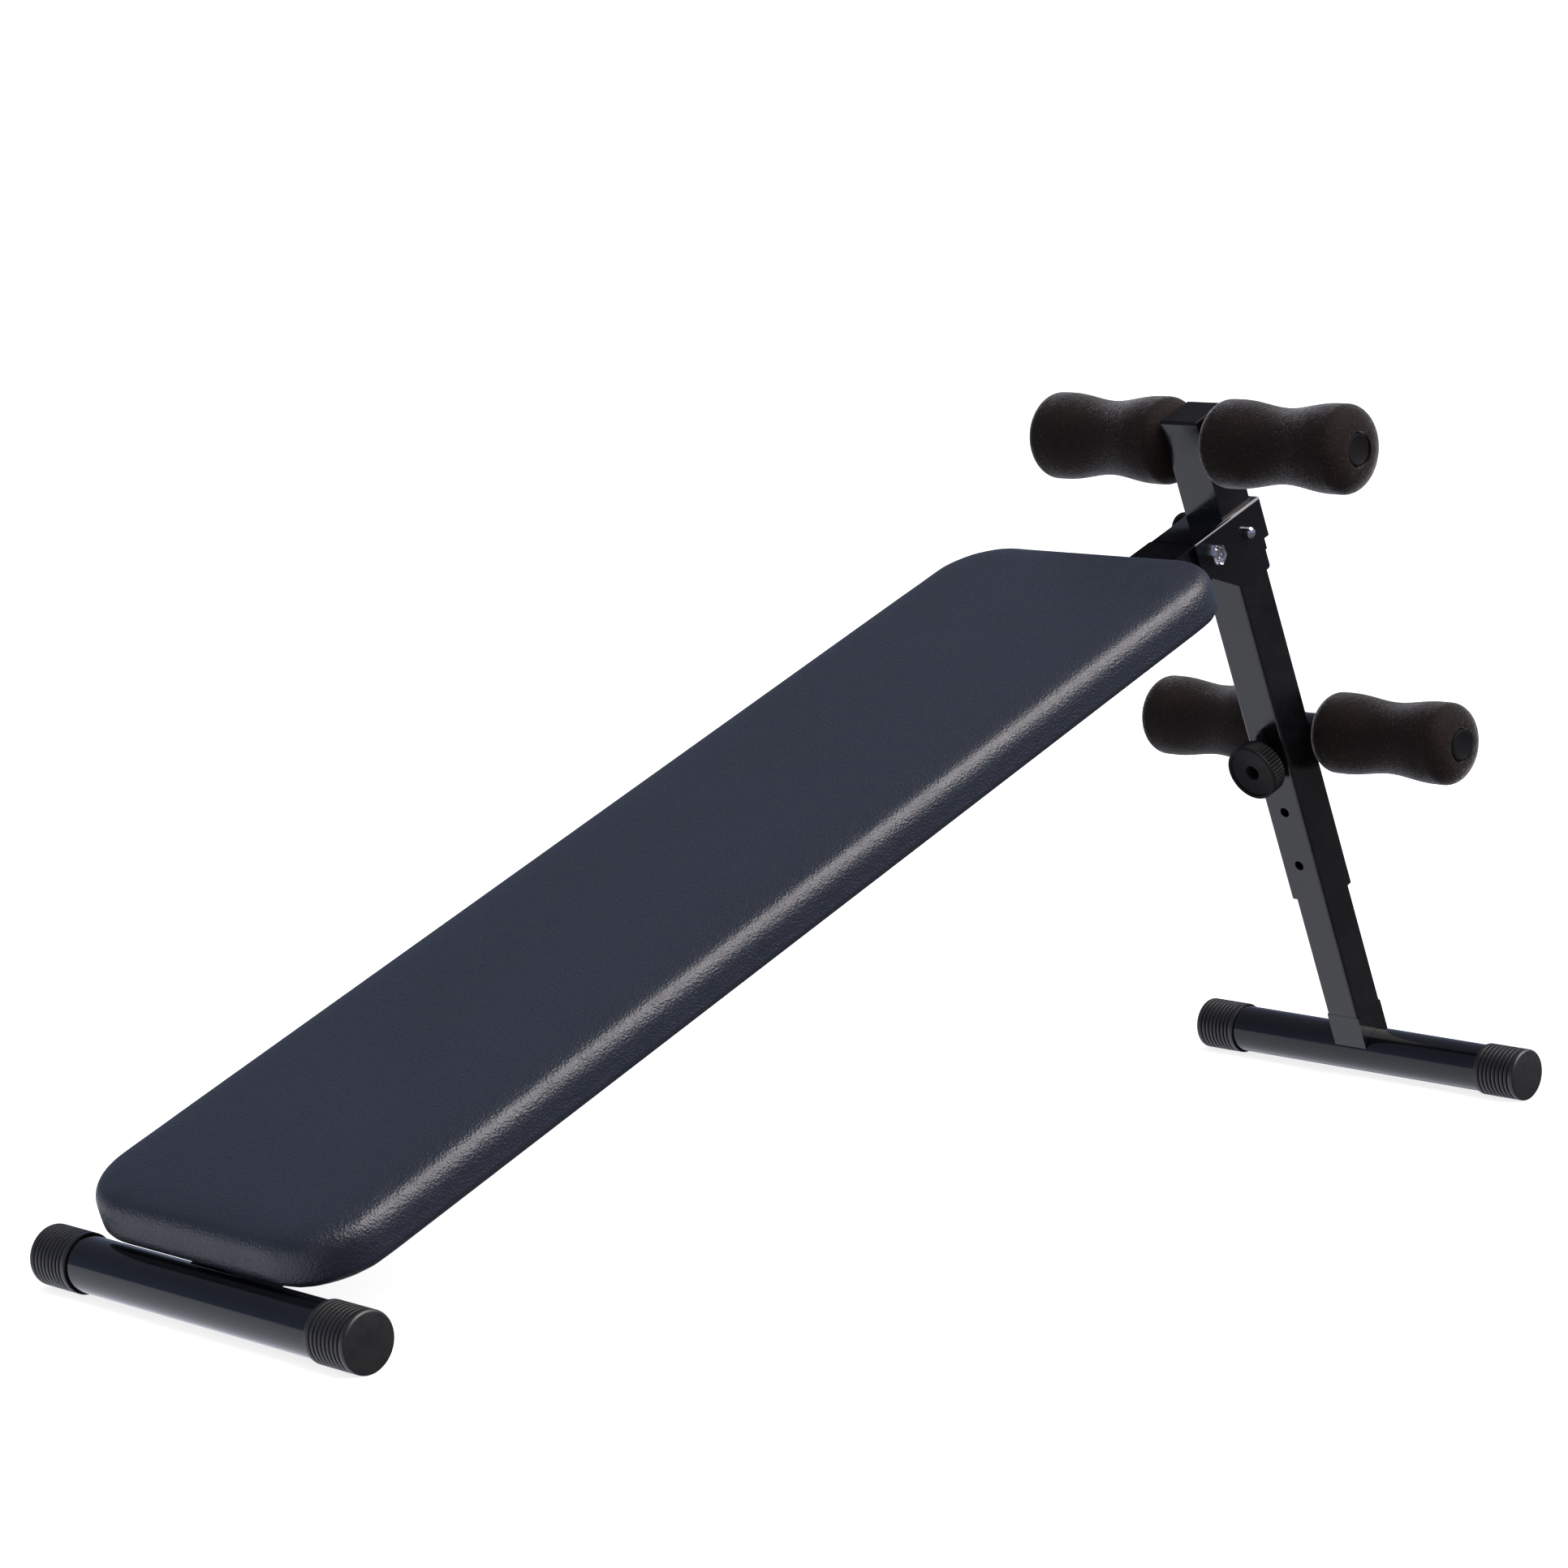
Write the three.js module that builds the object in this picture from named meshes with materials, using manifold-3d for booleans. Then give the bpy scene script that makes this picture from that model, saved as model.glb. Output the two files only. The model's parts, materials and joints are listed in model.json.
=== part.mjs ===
// Decline sit-up bench: a padded board on an inclined beam, with a telescopic post that carries
// two pairs of foam leg rollers and folds under the beam on one hinge bolt.
// Millimetres, +Z up, +X from the low end towards the post, +Y to the left of a person facing +X.
// The origin is on the floor, midway between the two feet.
// Most pieces are laid out in the bench's own tilted frame: U runs up the bench, W stands square to it.

import * as THREE from 'three';
import { mergeVertices } from 'three/addons/utils/BufferGeometryUtils.js';
import Module from 'manifold-3d';

const wasm = await Module();
wasm.setup();

// ---------------------------------------------------------------- driving dimensions

const INCLINE = THREE.MathUtils.degToRad(23.5); // bench angle above the floor
const FOOT_SPACING = 1321; // between the axes of the two foot tubes
const GAP = 0.3; // clearance left between neighbouring pieces

const FOOT = { radius: 21, wall: 2, halfLength: 177.5 };
const CAP = { radius: 23, outerEnd: 181, length: 43, endWall: 3, chamfer: 2 };

const POST_U = FOOT_SPACING * Math.cos(INCLINE); // the post's axis along the bench
const FOOT_W = -FOOT_SPACING * Math.sin(INCLINE); // the rear foot's axis below the bench line

const BEAM = { halfWidth: 20, top: 19.2, bottom: -20.8, wall: 2, corner: 2 };
const HINGE = { u: POST_U - 51, w: 4.6, boltRadius: 5, hole: 5.4, lug: 14.2 };

const PAD = { start: 3.3, end: 1061.3, halfWidth: 148.5, bottom: 21.6, top: 60.2, corner: 58, edge: 11.5 };
const BOARD = { inset: 14, bottom: 21.6, thickness: 9 };
const PLATE = { halfWidth: 25, bottom: 19.5, top: 21.3 };
const PLATE_SPANS = { upper: [860, POST_U - 66.3], lower: [60, 260] };
const PAD_BOLT = { radius: 3, hole: 3.4, headRadius: 6.5, headHeight: 4.5, top: 29 };
const PAD_BOLT_STATIONS = [110, 210, 900, 1010];

const TUBE = { half: 20, wall: 2, corner: 3 }; // outer post, 40 x 40
const LEG = { half: 17.5, wall: 2, corner: 3, top: -92, bottom: -482.5 }; // inner post, 35 x 35
const OUTER_SPAN = [-360, -21];
const UPPER_SPAN = [-20.7, 111];
const TOP_CAP = { thickness: 2.7, chamfer: 0.8, plugHalf: 17.5, plugDepth: 12 };
const HOLE_STEP = 54.5; // between the height holes
const KNOB_W = -214.5;
const HEIGHT_HOLE = 4.75;

const BRACKET = { halfWidth: 25, wall: 2.3, top: 22, front: -66, rear: 28.5, bend: 3.5 };
const SLEEVE = { inner: 20.3, wall: 2.1, front: -12, top: 19, bottom: -43.9 };
const PIN = { radius: 5, hole: 5.3, nearEnd: -32, farEnd: 44, travel: 65 };
const NUT = { acrossFlats: 16.5, start: 25.3, height: 11.5 };

const AXLE = { radius: 15, wall: 1.8, halfLength: 168.3 };
const UPPER_AXLE = { u: POST_U, w: 85.3 };
const LOWER_AXLE = { u: POST_U + 35.4, w: -214.1 };
const UPPER_FOAM = { inner: 20.7, outer: 172.4, bulge: 38.2, waist: 32.4 };
const LOWER_FOAM = { inner: 24.8, outer: 170.6, bulge: 36.1, waist: 31.6 };
const FOAM_END = { bore: 15.4, face: 16.2, rounding: 15, bulgeFrom: 24 };
const PLUG = { head: 14, start: 168.6, face: 171.6, stem: 12.8, stemStart: 152 };
const KNOB = {
  back: -31, front: -48.3, radius: 25.2, ribs: 36, ribDepth: 1.1, rim: 2, rimWidth: 3, recess: 1.8,
};
const KNOB_SCREW = { radius: 4.4, head: 6.2, headBack: -36, headFront: -39.5, tip: -17.8 };
const BOSS = { radius: 11, front: -30.7 };

// ---------------------------------------------------------------- materials

function material(color, roughness, metalness) {
  return new THREE.MeshStandardMaterial({ color, roughness, metalness });
}

const glossBlack = material(0x16181c, 0.25, 0.4);
const satinBlack = material(0x2c2e33, 0.45, 0.5);
const blackRubber = material(0x17181a, 0.75, 0.0);
const blackPlastic = material(0x1d1f22, 0.5, 0.0);
const brownFoam = material(0x2a1f1b, 0.95, 0.0);
const navyVinyl = material(0x2e3747, 0.5, 0.0);
const plywood = material(0xa88458, 0.8, 0.0);
const brightSteel = material(0xb9bcc2, 0.25, 1.0);

// ---------------------------------------------------------------- solid helpers

function solid(geometry) {
  geometry.deleteAttribute('normal');
  geometry.deleteAttribute('uv');
  const merged = mergeVertices(geometry, 1e-4);
  const index = merged.index.array;
  const triangles = [];
  for (let i = 0; i < index.length; i += 3) {
    const [a, b, c] = [index[i], index[i + 1], index[i + 2]];
    if (a !== b && b !== c && c !== a) triangles.push(a, b, c);
  }
  return new wasm.Manifold(new wasm.Mesh({
    numProp: 3,
    vertProperties: new Float32Array(merged.attributes.position.array),
    triVerts: new Uint32Array(triangles),
  }));
}

const subtractAll = (body, tools) => tools.reduce((rest, tool) => rest.subtract(tool), body);

// Extrusions of a 2-D shape: (u, w) across the bench, (u, y) along W, and (y, w) along U.
const extrude = (shape, depth) => new THREE.ExtrudeGeometry(shape, { depth, bevelEnabled: false });

function acrossY(shape, y0, y1) {
  return solid(extrude(shape, y1 - y0).rotateX(Math.PI / 2).translate(0, y1, 0));
}

function alongW(shape, w0, w1) {
  return solid(extrude(shape, w1 - w0).translate(0, 0, w0));
}

function alongU(shape, u0, u1) {
  const turn = new THREE.Matrix4().makeBasis(
    new THREE.Vector3(0, 1, 0), new THREE.Vector3(0, 0, 1), new THREE.Vector3(1, 0, 0));
  return solid(extrude(shape, u1 - u0).applyMatrix4(turn).translate(u0, 0, 0));
}

// A closed outline from [a, b, radius] corners; a corner with no radius stays sharp.
function outline(corners, steps = 5) {
  const points = [];
  corners.forEach(([a, b, radius = 0], i) => {
    const here = new THREE.Vector2(a, b);
    const before = new THREE.Vector2(...corners.at(i - 1).slice(0, 2)).sub(here).normalize();
    const after = new THREE.Vector2(...corners[(i + 1) % corners.length].slice(0, 2)).sub(here).normalize();
    if (radius === 0) {
      points.push(here);
      return;
    }
    const half = Math.acos(THREE.MathUtils.clamp(before.dot(after), -1, 1)) / 2;
    const bisector = before.clone().add(after).normalize();
    const centre = here.clone().addScaledVector(bisector, radius / Math.sin(half));
    const reach = radius / Math.tan(half);
    const start = here.clone().addScaledVector(before, reach).sub(centre);
    const end = here.clone().addScaledVector(after, reach).sub(centre);
    const from = start.angle();
    let sweep = end.angle() - from;
    if (sweep > Math.PI) sweep -= 2 * Math.PI;
    if (sweep < -Math.PI) sweep += 2 * Math.PI;
    for (let k = 0; k <= steps; k += 1) {
      const angle = from + (sweep * k) / steps;
      points.push(new THREE.Vector2(Math.cos(angle), Math.sin(angle)).multiplyScalar(radius).add(centre));
    }
  });
  return new THREE.Shape(points);
}

const rectangle = (a0, b0, a1, b1, radius = 0, steps = 5) => outline(
  [[a0, b0, radius], [a1, b0, radius], [a1, b1, radius], [a0, b1, radius]], steps);

const box = (u0, y0, w0, u1, y1, w1) => alongW(rectangle(u0, y0, u1, y1), w0, w1);

// Round bars. The first is along Y, the others along U and W.
function barY(u, w, radius, y0, y1, sides = 16) {
  const bar = new THREE.CylinderGeometry(radius, radius, y1 - y0, sides).translate(u, (y0 + y1) / 2, w);
  return solid(bar);
}

function barU(y, w, radius, u0, u1, sides = 16) {
  const bar = new THREE.CylinderGeometry(radius, radius, u1 - u0, sides).rotateZ(-Math.PI / 2);
  return solid(bar.translate((u0 + u1) / 2, y, w));
}

function barW(u, y, radius, w0, w1, sides = 10) {
  const bar = new THREE.CylinderGeometry(radius, radius, w1 - w0, sides).rotateX(Math.PI / 2);
  return solid(bar.translate(u, y, (w0 + w1) / 2));
}

// A turned solid about Y from [radius, y] points, counter-clockwise round the section.
function turnedY(profile, sides = 24) {
  return solid(new THREE.LatheGeometry(profile.map(([r, y]) => new THREE.Vector2(r, y)), sides));
}

const mirrorY = (body) => body.mirror([0, 1, 0]);

function squareTube({ half, wall, corner }, w0, w1) {
  const skin = alongW(rectangle(POST_U - half, -half, POST_U + half, half, corner), w0, w1);
  const bore = half - wall;
  const inside = rectangle(POST_U - bore, -bore, POST_U + bore, bore, Math.max(corner - wall, 0));
  return skin.subtract(alongW(inside, w0 - 1, w1 + 1));
}

function mesh(name, body, look) {
  const { vertProperties, triVerts } = body.getMesh();
  const geometry = new THREE.BufferGeometry();
  geometry.setAttribute('position', new THREE.BufferAttribute(vertProperties, 3));
  geometry.setIndex(new THREE.BufferAttribute(triVerts, 1));
  geometry.computeVertexNormals();
  const node = new THREE.Mesh(geometry, look);
  node.name = name;
  return node;
}

// ---------------------------------------------------------------- feet

// A foot tube lies along Y; its facets are turned so that one lies flat on the floor side.
function footTube(name) {
  const skin = barY(0, 0, FOOT.radius, -FOOT.halfLength, FOOT.halfLength, 28);
  const bore = barY(0, 0, FOOT.radius - FOOT.wall, -FOOT.halfLength - 1, FOOT.halfLength + 1, 28);
  return mesh(name, skin.subtract(bore), glossBlack);
}

// A push-on end cap. The radius is to the middle of a facet, so the cap stands on a flat.
function footCap(name, side) {
  const sides = 24;
  const flat = 1 / Math.cos(Math.PI / sides);
  const outer = CAP.radius * flat;
  const bore = (FOOT.radius + GAP) * flat;
  const rim = CAP.outerEnd - CAP.length;
  const profile = [
    [0, CAP.outerEnd - CAP.endWall],
    [bore, CAP.outerEnd - CAP.endWall],
    [bore, rim],
    [outer - 0.6, rim],
    [outer, rim + 0.6],
    [outer, CAP.outerEnd - CAP.chamfer],
    [outer - CAP.chamfer, CAP.outerEnd],
    [0, CAP.outerEnd],
  ];
  const turned = turnedY(profile, sides).rotate([0, 180 / sides, 0]);
  return mesh(name, side === 'left' ? turned : mirrorY(turned), blackRubber);
}

function foot(prefix, x) {
  const group = new THREE.Group();
  group.position.set(x, 0, CAP.radius);
  group.add(footTube(`${prefix}_foot_tube`));
  for (const side of ['left', 'right']) group.add(footCap(`${prefix}_foot_cap_${side}`, side));
  return group;
}

// ---------------------------------------------------------------- beam, board and pad

const hingeHole = (radius) => barY(HINGE.u, HINGE.w, radius, -60, 60);
const padBoltHole = (u) => barW(u, 0, PAD_BOLT.hole, BEAM.bottom - 1, PAD_BOLT.top + GAP);

// The beam is coped onto the front foot and ends in a rounded lug round the hinge bolt.
function beam() {
  const tube = (a, b) => {
    const skin = rectangle(-BEAM.halfWidth, BEAM.bottom, BEAM.halfWidth, BEAM.top, BEAM.corner, 3);
    const inside = rectangle(-BEAM.halfWidth + BEAM.wall, BEAM.bottom + BEAM.wall,
      BEAM.halfWidth - BEAM.wall, BEAM.top - BEAM.wall);
    return alongU(skin, a, b).subtract(alongU(inside, a - 1, b + 1));
  };
  const lug = tube(HINGE.u - 1, HINGE.u + HINGE.lug + 1)
    .intersect(barY(HINGE.u, HINGE.w, HINGE.lug, -40, 40, 28));
  const cope = barY(0, 0, FOOT.radius + GAP, -40, 40, 28);
  return mesh('main_beam', subtractAll(tube(8, HINGE.u).add(lug), [
    cope, hingeHole(HINGE.hole), ...PAD_BOLT_STATIONS.map(padBoltHole),
  ]), glossBlack);
}

function padPlate(name, [u0, u1]) {
  const { halfWidth, bottom, top } = PLATE;
  const plate = alongW(rectangle(u0, -halfWidth, u1, halfWidth, 1.5, 3), bottom, top);
  return mesh(name, subtractAll(plate, PAD_BOLT_STATIONS.map(padBoltHole)), glossBlack);
}

function padPlan(inset, corner) {
  const half = PAD.halfWidth - inset;
  return rectangle(PAD.start + inset, -half, PAD.end - inset, half, corner, 6);
}

function board() {
  const plan = padPlan(BOARD.inset, PAD.corner - BOARD.inset);
  const sheet = alongW(plan, BOARD.bottom, BOARD.bottom + BOARD.thickness);
  return mesh('pad_board', subtractAll(sheet, PAD_BOLT_STATIONS.map(padBoltHole)), plywood);
}

// The cushion is a stack of inset slices with rounded edges, hollowed underneath for the board.
function cushion() {
  const slices = [];
  const rounding = 2;
  for (let k = 0; k < rounding; k += 1) {
    const angle = (k / rounding) * (Math.PI / 2);
    const next = ((k + 1) / rounding) * (Math.PI / 2);
    const middle = (angle + next) / 2;
    const inset = PAD.edge * (1 - Math.cos(middle));
    const rise = (a) => PAD.edge * (1 - Math.sin(a));
    slices.push([PAD.top - rise(angle), PAD.top - rise(next), inset]);
    slices.push([PAD.bottom + rise(next), PAD.bottom + rise(angle), inset]);
  }
  let body = alongW(padPlan(0, PAD.corner), PAD.bottom + PAD.edge, PAD.top - PAD.edge);
  for (const [w0, w1, inset] of slices) {
    body = body.add(alongW(padPlan(inset, PAD.corner - inset), w0, w1));
  }
  const pocket = alongW(padPlan(BOARD.inset - GAP, PAD.corner - BOARD.inset),
    PAD.bottom - 1, BOARD.bottom + BOARD.thickness + GAP);
  return mesh('pad_cushion', body.subtract(pocket), navyVinyl);
}

function padBolt(u, i) {
  const under = BEAM.bottom - GAP;
  const head = barW(u, 0, PAD_BOLT.headRadius, under - PAD_BOLT.headHeight, under, 12);
  const socket = barW(u, 0, PAD_BOLT.radius, under - PAD_BOLT.headHeight - 1, under - 2, 6);
  const shank = barW(u, 0, PAD_BOLT.radius, under - 0.5, PAD_BOLT.top);
  return mesh(`pad_bolt_${i + 1}`, head.subtract(socket).add(shank), brightSteel);
}

// ---------------------------------------------------------------- hinge

const pinHole = () => barY(POST_U, 0, PIN.hole, -60, 60);

// The head bracket is an inverted channel welded round the post. Its web stops on the beam.
function headBracket() {
  const { halfWidth, wall, top, front, rear, bend } = BRACKET;
  const side = outline([
    [POST_U + front, -8.3], [POST_U - 21, -42.6], [POST_U - 15, -42.6, 1], [POST_U - 13.5, -25.3],
    [POST_U + 20, -25.3], [POST_U + 20, -15.5], [POST_U + rear, -15.5, 1.5], [POST_U + rear, top, bend],
    [POST_U + front, top],
  ]);
  const section = outline([
    [-halfWidth, -60], [halfWidth, -60], [halfWidth, top, bend], [-halfWidth, top, bend],
  ]);
  const plan = outline([
    [POST_U + front, -halfWidth], [POST_U + rear, -halfWidth, 3],
    [POST_U + rear, halfWidth, 3], [POST_U + front, halfWidth],
  ], 3);
  const block = acrossY(side, -halfWidth, halfWidth)
    .intersect(alongU(section, POST_U + front - 1, POST_U + rear + 1))
    .intersect(alongW(plan, -60, top + 1));
  const inside = halfWidth - wall;
  const cavity = box(POST_U + front - 1, -inside, -61, POST_U + rear - wall, inside, top - wall);
  const { inner } = SLEEVE;
  const postHole = box(POST_U - inner, -inner, 0, POST_U + inner, inner, top + 1);
  const body = subtractAll(block, [cavity, postHole, hingeHole(HINGE.hole), pinHole()]);
  return mesh('head_bracket', body, glossBlack);
}

// A strap wrapped round the sides and the back of the post, under the bracket.
function postSleeve() {
  const { inner, wall, front, top, bottom } = SLEEVE;
  const outer = inner + wall;
  const plan = outline([
    [POST_U + front, -outer], [POST_U + outer, -outer, 2.5],
    [POST_U + outer, outer, 2.5], [POST_U + front, outer],
  ], 3);
  const side = outline([
    [POST_U + front, bottom], [POST_U + outer, bottom, 5], [POST_U + outer, top], [POST_U + front, top],
  ]);
  const channel = alongW(plan, bottom, top)
    .intersect(acrossY(side, -outer, outer))
    .subtract(box(POST_U + front - 1, -inner, bottom - 1, POST_U + inner, inner, top + 1));
  return mesh('post_sleeve', channel.subtract(pinHole()), glossBlack);
}

function hexPrism(acrossFlats, y0, y1) {
  const radius = acrossFlats / Math.sqrt(3);
  const prism = new THREE.CylinderGeometry(radius, radius, y1 - y0, 6).rotateY(Math.PI / 6);
  const chamfer = 1.2;
  const turned = turnedY([
    [0, y0], [acrossFlats / 2, y0], [radius, y0 + chamfer],
    [radius, y1 - chamfer], [acrossFlats / 2, y1], [0, y1],
  ], 18).translate([HINGE.u, 0, HINGE.w]);
  return solid(prism.translate(HINGE.u, (y0 + y1) / 2, HINGE.w)).intersect(turned);
}

function hingeParts() {
  const { start, height, acrossFlats } = NUT;
  const bolt = barY(HINGE.u, HINGE.w, HINGE.boltRadius, -start - height + 2.5, start + 1)
    .add(hexPrism(acrossFlats, start, start + 6.5));
  const tip = barY(HINGE.u, HINGE.w, 2.4, -60, -start - height + 4.5, 8);
  const nut = hexPrism(acrossFlats, -start - height, -start)
    .subtract(barY(HINGE.u, HINGE.w, HINGE.boltRadius + 0.15, -60, 0));
  const washer = (y0, y1) => barY(HINGE.u, HINGE.w, 11, y0, y1).subtract(hingeHole(HINGE.hole));
  const bushReach = BEAM.halfWidth - BEAM.wall - GAP;
  const bush = barY(HINGE.u, HINGE.w, 8, -bushReach, bushReach).subtract(hingeHole(HINGE.hole));
  const inner = BEAM.halfWidth + GAP;
  const outer = BRACKET.halfWidth - BRACKET.wall - GAP;
  return [
    mesh('hinge_bolt', bolt.subtract(tip), brightSteel),
    mesh('hinge_nut', nut, brightSteel),
    mesh('hinge_washer_left', washer(inner, outer), brightSteel),
    mesh('hinge_washer_right', washer(-outer, -inner), brightSteel),
    mesh('hinge_bush', bush, brightSteel),
  ];
}

function lockPin() {
  const { radius, nearEnd, farEnd } = PIN;
  const chamfer = 1.5;
  const pin = turnedY([
    [0, nearEnd], [radius - chamfer, nearEnd], [radius, nearEnd + chamfer], [radius, farEnd], [0, farEnd],
  ], 16).translate([POST_U, 0, 0]);
  const grip = turnedY([
    [0, farEnd + GAP], [radius + GAP, farEnd + GAP], [radius + GAP, 30], [9, 30], [9, 33],
    [14, 39], [14.5, 44], [13, 48.5], [8, 51], [0, 51.5],
  ], 18).translate([POST_U, 0, 0]);
  return [mesh('lock_pin', pin, brightSteel), mesh('lock_pin_grip', grip, blackPlastic)];
}

// ---------------------------------------------------------------- post

const axleHole = () => barY(UPPER_AXLE.u, UPPER_AXLE.w, AXLE.radius + GAP, -40, 40, 24);

function upperPost() {
  const tube = squareTube({ ...TUBE, corner: 0 }, ...UPPER_SPAN);
  return mesh('upper_post_tube', subtractAll(tube, [axleHole(), pinHole()]), satinBlack);
}

const heightHole = (step) => barU(0, KNOB_W - step * HOLE_STEP, HEIGHT_HOLE, POST_U - 30, POST_U);

function outerPost() {
  const tube = squareTube(TUBE, ...OUTER_SPAN);
  return mesh('outer_post_tube', subtractAll(tube, [0, 1, 2].map(heightHole)), satinBlack);
}

function postTopCap() {
  const { thickness, chamfer, plugHalf, plugDepth } = TOP_CAP;
  const w0 = UPPER_SPAN[1] + GAP;
  const w1 = w0 + thickness;
  const side = outline([
    [-TUBE.half, w0], [TUBE.half, w0], [TUBE.half, w1 - chamfer], [TUBE.half - chamfer, w1],
    [chamfer - TUBE.half, w1], [-TUBE.half, w1 - chamfer],
  ]);
  const lid = alongU(side, -TUBE.half, TUBE.half)
    .intersect(acrossY(side, -TUBE.half, TUBE.half));
  const clear = UPPER_AXLE.w + AXLE.radius + 1;
  const plugEnd = Math.max(w0 - plugDepth, clear);
  const plug = alongW(rectangle(-plugHalf, -plugHalf, plugHalf, plugHalf), plugEnd, w0 + 0.5);
  return mesh('post_top_cap', lid.add(plug).translate([POST_U, 0, 0]), blackPlastic);
}

// The inner post slides in the outer one and has the same row of holes, carried two steps higher.
function innerPost() {
  const tube = squareTube(LEG, LEG.bottom, LEG.top);
  return mesh('inner_post_tube', subtractAll(tube, [-2, -1, 0, 1, 2].map(heightHole)), satinBlack);
}

// A square stub, coped and welded onto the rear foot tube, that the inner post stands on.
function footSaddle() {
  const stub = squareTube({ half: LEG.half, wall: 3, corner: 0 }, FOOT_W, LEG.bottom - GAP);
  const cope = barY(POST_U, FOOT_W, FOOT.radius + GAP, -40, 40, 28);
  return mesh('post_foot_saddle', stub.subtract(cope), satinBlack);
}

// ---------------------------------------------------------------- height knob

function knobBody() {
  const { back, front, radius, ribs, ribDepth, rim, rimWidth, recess } = KNOB;
  const flutes = [];
  for (let i = 0; i < ribs; i += 1) {
    for (const [phase, inset] of [[0, ribDepth], [0.5, 0]]) {
      const angle = ((i + phase) / ribs) * 2 * Math.PI;
      flutes.push(new THREE.Vector2(Math.cos(angle), Math.sin(angle)).multiplyScalar(radius - inset));
    }
  }
  const grip = alongU(new THREE.Shape(flutes), front + rim, back);
  const face = barU(0, 0, radius, front, front + rim + 0.5, 36);
  const dish = barU(0, 0, radius - rimWidth, front - 1, front + recess, 24);
  const headSpace = barU(0, 0, KNOB_SCREW.head + GAP, front - 1, KNOB_SCREW.headBack + GAP);
  const bore = barU(0, 0, KNOB_SCREW.radius + GAP, front, back + 1);
  const body = subtractAll(grip.add(face), [dish, headSpace, bore]);
  return mesh('knob_grip', body.translate([POST_U, 0, KNOB_W]), blackPlastic);
}

function knobScrew() {
  const { radius, head, headBack, headFront, tip } = KNOB_SCREW;
  const socket = barU(0, 0, 3, headFront - 1, headFront + 2.4, 6);
  const shank = barU(0, 0, radius, headBack - 0.5, tip);
  const screw = barU(0, 0, head, headFront, headBack).subtract(socket).add(shank);
  return mesh('knob_screw', screw.translate([POST_U, 0, KNOB_W]), brightSteel);
}

function knobBoss() {
  const ring = barU(0, 0, BOSS.radius, BOSS.front, -TUBE.half - GAP)
    .subtract(barU(0, 0, HEIGHT_HOLE, BOSS.front - 1, -TUBE.half + 1));
  return mesh('knob_boss', ring.translate([POST_U, 0, KNOB_W]), satinBlack);
}

// ---------------------------------------------------------------- leg rollers

function axle(name, { u, w }) {
  const skin = barY(u, w, AXLE.radius, -AXLE.halfLength, AXLE.halfLength, 24);
  const inside = barY(u, w, AXLE.radius - AXLE.wall, -AXLE.halfLength - 1, AXLE.halfLength + 1, 24);
  return mesh(name, skin.subtract(inside), glossBlack);
}

function axlePlug(name, side, { u, w }) {
  const { head, start, face, stem, stemStart } = PLUG;
  const plug = turnedY([
    [0, stemStart], [stem - 1, stemStart], [stem, stemStart + 2], [stem, start], [head, start],
    [head, face - 1], [head - 1, face], [0, face],
  ], 20);
  return mesh(name, (side === 'left' ? plug : mirrorY(plug)).translate([u, 0, w]), blackPlastic);
}

// The roller swells to a bulge near each end, with a gentle waist between.
function foamRadius(offset, length, { bulge, waist }) {
  const { face, rounding, bulgeFrom } = FOAM_END;
  const fromEnd = Math.min(offset, length - offset);
  const phase = (fromEnd - bulgeFrom) / (length / 2 - bulgeFrom);
  const swell = fromEnd < bulgeFrom ? 1 : (1 + Math.cos(phase * Math.PI)) / 2;
  const full = waist + (bulge - waist) * swell;
  if (fromEnd >= rounding) return full;
  return face + (full - face) * Math.sqrt(1 - (1 - fromEnd / rounding) ** 2);
}

function foamRoller(name, side, { u, w }, foam) {
  const length = foam.outer - foam.inner;
  const { bore, rounding, bulgeFrom } = FOAM_END;
  const nearEnd = [0, 0.08, 0.35, 1].map((part) => part * rounding);
  const middle = [0.05, 0.5].map((part) => bulgeFrom + part * (length / 2 - bulgeFrom));
  const half = [...nearEnd, ...middle];
  const stations = [...half, length / 2, ...half.map((offset) => length - offset).reverse()];
  const profile = stations.map((offset) => [foamRadius(offset, length, foam), foam.inner + offset]);
  const closed = [[bore, foam.outer], [bore, foam.inner], ...profile, [bore, foam.outer]];
  const roller = turnedY(closed);
  return mesh(name, (side === 'left' ? roller : mirrorY(roller)).translate([u, 0, w]), brownFoam);
}

function rollerPair(level, axis, foam) {
  const pieces = [axle(`${level}_roller_axle`, axis)];
  for (const side of ['left', 'right']) {
    pieces.push(axlePlug(`${level}_axle_plug_${side}`, side, axis));
    pieces.push(foamRoller(`${level}_foam_roller_${side}`, side, axis, foam));
  }
  return pieces;
}

// ---------------------------------------------------------------- assembly

const bench = new THREE.Group();
bench.position.set(-FOOT_SPACING / 2, 0, CAP.radius);
bench.rotation.y = -INCLINE;
bench.add(
  beam(),
  padPlate('pad_plate_upper', PLATE_SPANS.upper),
  padPlate('pad_plate_lower', PLATE_SPANS.lower),
  board(),
  cushion(),
  ...PAD_BOLT_STATIONS.map(padBolt),
  headBracket(),
  postSleeve(),
  ...hingeParts(),
  ...lockPin(),
  upperPost(),
  outerPost(),
  postTopCap(),
  innerPost(),
  footSaddle(),
  knobBody(),
  knobScrew(),
  knobBoss(),
  ...rollerPair('upper', UPPER_AXLE, UPPER_FOAM),
  ...rollerPair('lower', LOWER_AXLE, LOWER_FOAM),
);

const group = new THREE.Group();
group.add(foot('front', -FOOT_SPACING / 2), foot('rear', FOOT_SPACING / 2), bench);

export default group;
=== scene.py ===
"""Decline sit-up bench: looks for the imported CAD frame. Metres, +Z up, +X from the low end to the post."""
import json
import math

import bmesh
import bpy
import numpy as np
from mathutils import Matrix, Vector


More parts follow.
